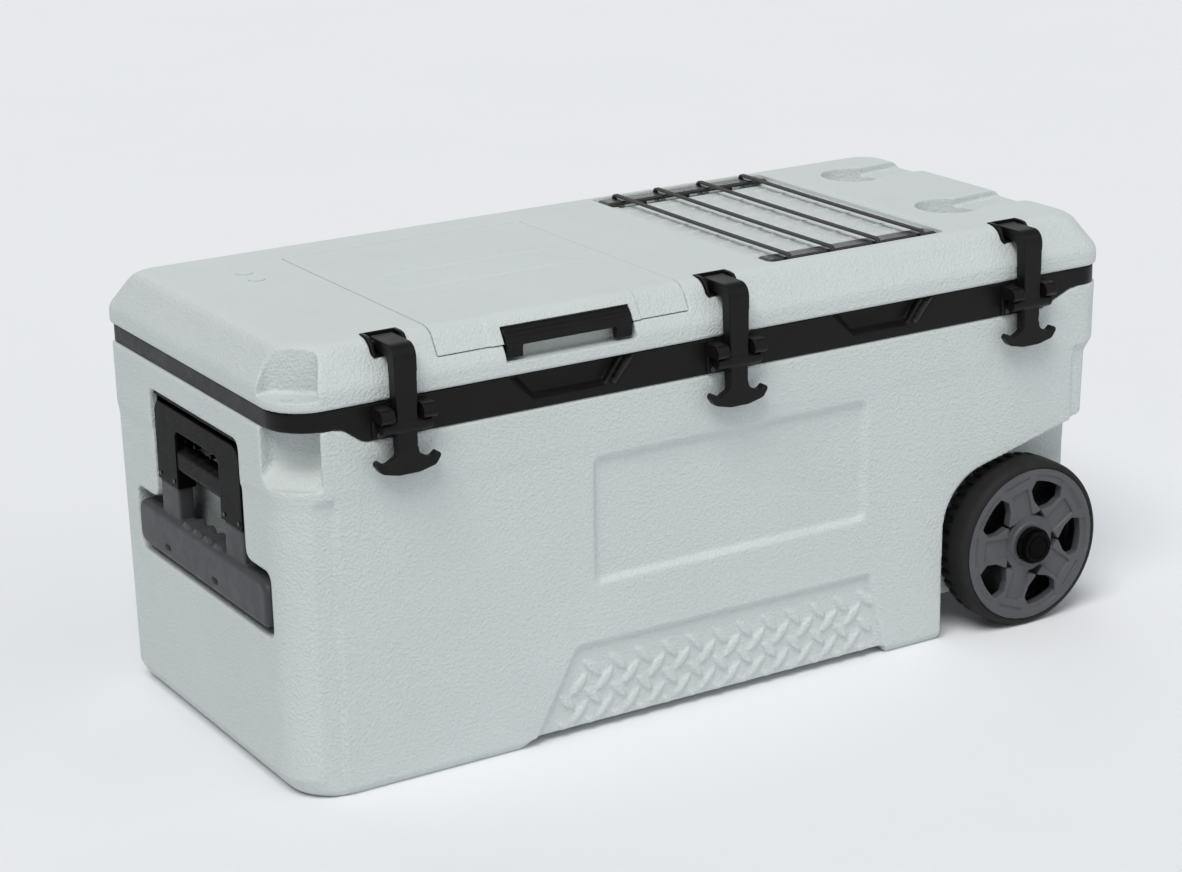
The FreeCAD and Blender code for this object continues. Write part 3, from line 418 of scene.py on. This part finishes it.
def tyre(side):
    """Solid rubber tyre: low crown, rounded shoulders and round-ended slots from its inner edge."""
    node = f"tyre_{side}"
    low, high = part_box(node)
    centre, outer = (low + high) / 2, (high.z - low.z) / 2
    bore = max((v.co - Vector((centre.x, v.co.y, centre.z))).length
               for v in NODES[f"rim_{side}"].data.vertices)
    out = -1 if side == "front" else 1
    half = (high.y - low.y) / 2
    shoulder, crown = 7 * MM, 1.2 * MM
    lugs, slot_half, slot_long, slot_deep = 40, 4.0 * MM, 24 * MM, 4.2 * MM
    slot_soft, wall_deep, wall_soft = 1.2 * MM, 9 * MM, 3 * MM
    corner, across = 8, 44
    profile = [(half, bore + 0.2 * MM), (half, bore + 1.5 * MM)]
    for i in range(corner + 1):
        turn = math.pi / 2 * i / corner
        profile.append((half - shoulder + shoulder * math.cos(turn),
                        outer - crown - shoulder + shoulder * math.sin(turn)))
    one_side = len(profile)
    for i in range(1, across):
        y = (half - shoulder) * (1 - 2 * i / across)
        profile.append((y, outer - crown * (y / half) ** 2))
    profile += [(-y, r) for y, r in reversed(profile[:one_side])]
    turns = 720
    bm = bmesh.new()
    rings = []
    for i in range(turns):
        angle = 2 * math.pi * i / turns
        off = ((angle * lugs / (2 * math.pi)) % 1 - 0.5) * 2 * math.pi * outer / lugs
        ring = []
        for y, r in profile:
            inside = y + half
            if inside < slot_long - slot_half:
                reach = abs(off)
            else:
                reach = math.hypot(off, inside - slot_long + slot_half)
            slot = 1 - ease(reach, slot_half, slot_soft)
            r -= slot_deep * slot * ease(r, outer - wall_deep, wall_soft)
            ring.append(bm.verts.new((centre.x + r * math.cos(angle), centre.y + out * y,
                                      centre.z + r * math.sin(angle))))
        rings.append(ring)
    for i, ring in enumerate(rings):
        onward = rings[(i + 1) % turns]
        for j in range(len(profile)):
            k = (j + 1) % len(profile)
            bm.faces.new((ring[j], ring[k], onward[k], onward[j]))
    bmesh.ops.recalc_face_normals(bm, faces=bm.faces)
    mesh = bpy.data.meshes.new(node)
    bm.to_mesh(mesh)
    bm.free()
    for polygon in mesh.polygons:
        polygon.use_smooth = True
    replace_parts(new_piece(f"{node}_rubber", mesh, node), node)


def swept_tube(points, radius, sides=14):
    """Closed tube along points, with UVs: u once round it and v in metres along it."""
    bm = bmesh.new()
    uv = bm.loops.layers.uv.new("UVMap")
    rings, lengths, run = [], [], 0.0
    for i, point in enumerate(points):
        if i:
            run += (point - points[i - 1]).length
        lengths.append(run)
        ahead = (points[min(i + 1, len(points) - 1)] - points[max(i - 1, 0)]).normalized()
        side = Vector((1, 0, 0))  # every cord lies in a plane across x
        lift = ahead.cross(side).normalized()
        rings.append([bm.verts.new(point + radius * (math.cos(a) * side + math.sin(a) * lift))
                      for a in (2 * math.pi * k / sides for k in range(sides))])
    for i in range(len(rings) - 1):
        for k in range(sides):
            n = (k + 1) % sides
            face = bm.faces.new((rings[i][k], rings[i][n], rings[i + 1][n], rings[i + 1][k]))
            face.smooth = True
            corners = ((k, i), (k + 1, i), (k + 1, i + 1), (k, i + 1))
            for loop, (u, v) in zip(face.loops, corners):
                loop[uv].uv = (u / sides, lengths[v])
    for ring in (rings[0], rings[-1]):
        bm.faces.new(ring)
    bmesh.ops.recalc_face_normals(bm, faces=bm.faces)
    mesh = bpy.data.meshes.new("tube")
    bm.to_mesh(mesh)
    bm.free()
    return mesh


def bungee_cords():
    """Elastic cords round both rails, as two strands each, bowed a little and tucked under."""
    strand_apart, strand_thick = 0.60, 0.68
    for number, (low, high) in enumerate(island_boxes("bungee_cords"), start=1):
        radius = (high.x - low.x) / 2
        x, middle = (low.x + high.x) / 2, (low.z + high.z) / 2
        wrap = (high.z - low.z) / 2 - radius
        y0, y1 = low.y + wrap + radius, high.y - wrap - radius
        tail, sag, steps, spans = 8 * MM, 0.8 * MM, 10, 24
        points = [Vector((x, y0 + tail, middle - wrap))]
        for i in range(steps + 1):
            turn = -math.pi / 2 - math.pi * i / steps
            points.append(Vector((x, y0 + wrap * math.cos(turn), middle + wrap * math.sin(turn))))
        for i in range(1, spans):
            t = i / spans
            bow = sag * math.sin(math.pi * t)
            points.append(Vector((x, y0 + (y1 - y0) * t, middle + wrap - bow)))
        for i in range(steps + 1):
            turn = math.pi / 2 - math.pi * i / steps
            points.append(Vector((x, y1 + wrap * math.cos(turn), middle + wrap * math.sin(turn))))
        points.append(Vector((x, y1 - tail, middle - wrap)))
        for strand, side in (("a", -1), ("b", 1)):
            shifted = [point + Vector((side * radius * strand_apart, 0, 0)) for point in points]
            tube = swept_tube(shifted, radius * strand_thick)
            piece = new_piece(f"cord_{number}{strand}", tube, "bungee_cords")
            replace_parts(piece, "bungee_cords")


tyre("front")
tyre("rear")
bungee_cords()

for node, thing in NODES.items():
    look = NODE_LOOKS.get(node, LOOKS[SLOT_OF[node]])
    for slot in thing.material_slots:
        slot.material = look


# ---------------------------------------------------------------- stage, light and camera

def stage():
    """A pale floor that runs on past the picture's edges and rises gently far behind."""
    width, front, bend, back, rise = 60.0, -20.0, 22.0, 34.0, 9.0
    steps, turned = 16, -31
    profile = [(front, 0.0), (bend, 0.0)]
    for i in range(1, steps + 1):
        t = i / steps
        profile.append((bend + (back - bend) * t, rise * t * t))
    mesh = bpy.data.meshes.new("backdrop")
    verts = [(x, y, z) for y, z in profile for x in (-width / 2, width / 2)]
    faces = [(2 * i, 2 * i + 1, 2 * i + 3, 2 * i + 2) for i in range(len(profile) - 1)]
    mesh.from_pydata(verts, [], faces)
    for polygon in mesh.polygons:
        polygon.use_smooth = True
    mesh.materials.append(backdrop_paint())
    sheet = bpy.data.objects.new("backdrop", mesh)
    sheet.rotation_euler = (0, 0, math.radians(turned))
    bpy.context.scene.collection.objects.link(sheet)


def soft_sun(name, azimuth, elevation, strength, spread, tint):
    """A wide, even light from far away; azimuth 0 is the cooler's front and -90 its handle end."""
    data = bpy.data.lights.new(name, "SUN")
    data.energy = strength
    data.angle = math.radians(spread)
    data.color = tint
    light = bpy.data.objects.new(name, data)
    a, e = math.radians(azimuth), math.radians(elevation)
    towards = Vector((math.sin(a) * math.cos(e), -math.cos(a) * math.cos(e), math.sin(e)))
    light.rotation_euler = towards.to_track_quat("Z", "Y").to_euler()
    bpy.context.scene.collection.objects.link(light)


def lighting():
    """Even, slightly cool sky with three soft suns."""
    world = bpy.data.worlds.new("studio")
    world.use_nodes = True
    sky = world.node_tree.nodes["Background"]
    sky.inputs["Color"].default_value = (0.90, 0.95, 1.0, 1.0)
    sky.inputs["Strength"].default_value = 0.22
    bpy.context.scene.world = world
    soft_sun("key", -48, 58, 2.05, 34, (1.0, 0.99, 0.97))
    soft_sun("fill", 34, 34, 0.55, 60, (0.97, 0.98, 1.0))
    soft_sun("rim", 165, 40, 0.35, 50, (0.97, 0.98, 1.0))


CAMERA_PLACE = (-1.67598, -2.74111, 1.28838)
CAMERA_RIGHT = Vector((0.84988, -0.52662, -0.01936))
CAMERA_UP = Vector((0.17063, 0.24024, 0.95560))
SENSOR_MM, LENS_MM = 36.0, 85.46
SHIFT_X, SHIFT_Y = -0.0244, -0.0283
FAR = 100.0


def camera():
    """The picture's own viewpoint: long lens, from the front and a little left, looking down."""
    data = bpy.data.cameras.new("camera")
    data.sensor_width = SENSOR_MM
    data.lens = LENS_MM
    data.shift_x = SHIFT_X
    data.shift_y = SHIFT_Y
    data.clip_end = FAR
    data.dof.use_dof = False
    back = CAMERA_RIGHT.cross(CAMERA_UP)
    turn = Matrix((CAMERA_RIGHT, CAMERA_UP, back)).transposed().to_4x4()
    cam = bpy.data.objects.new("camera", data)
    cam.matrix_world = Matrix.Translation(CAMERA_PLACE) @ turn
    bpy.context.scene.collection.objects.link(cam)
    bpy.context.scene.camera = cam


stage()
lighting()
camera()
bpy.context.scene.view_settings.view_transform = "Standard"
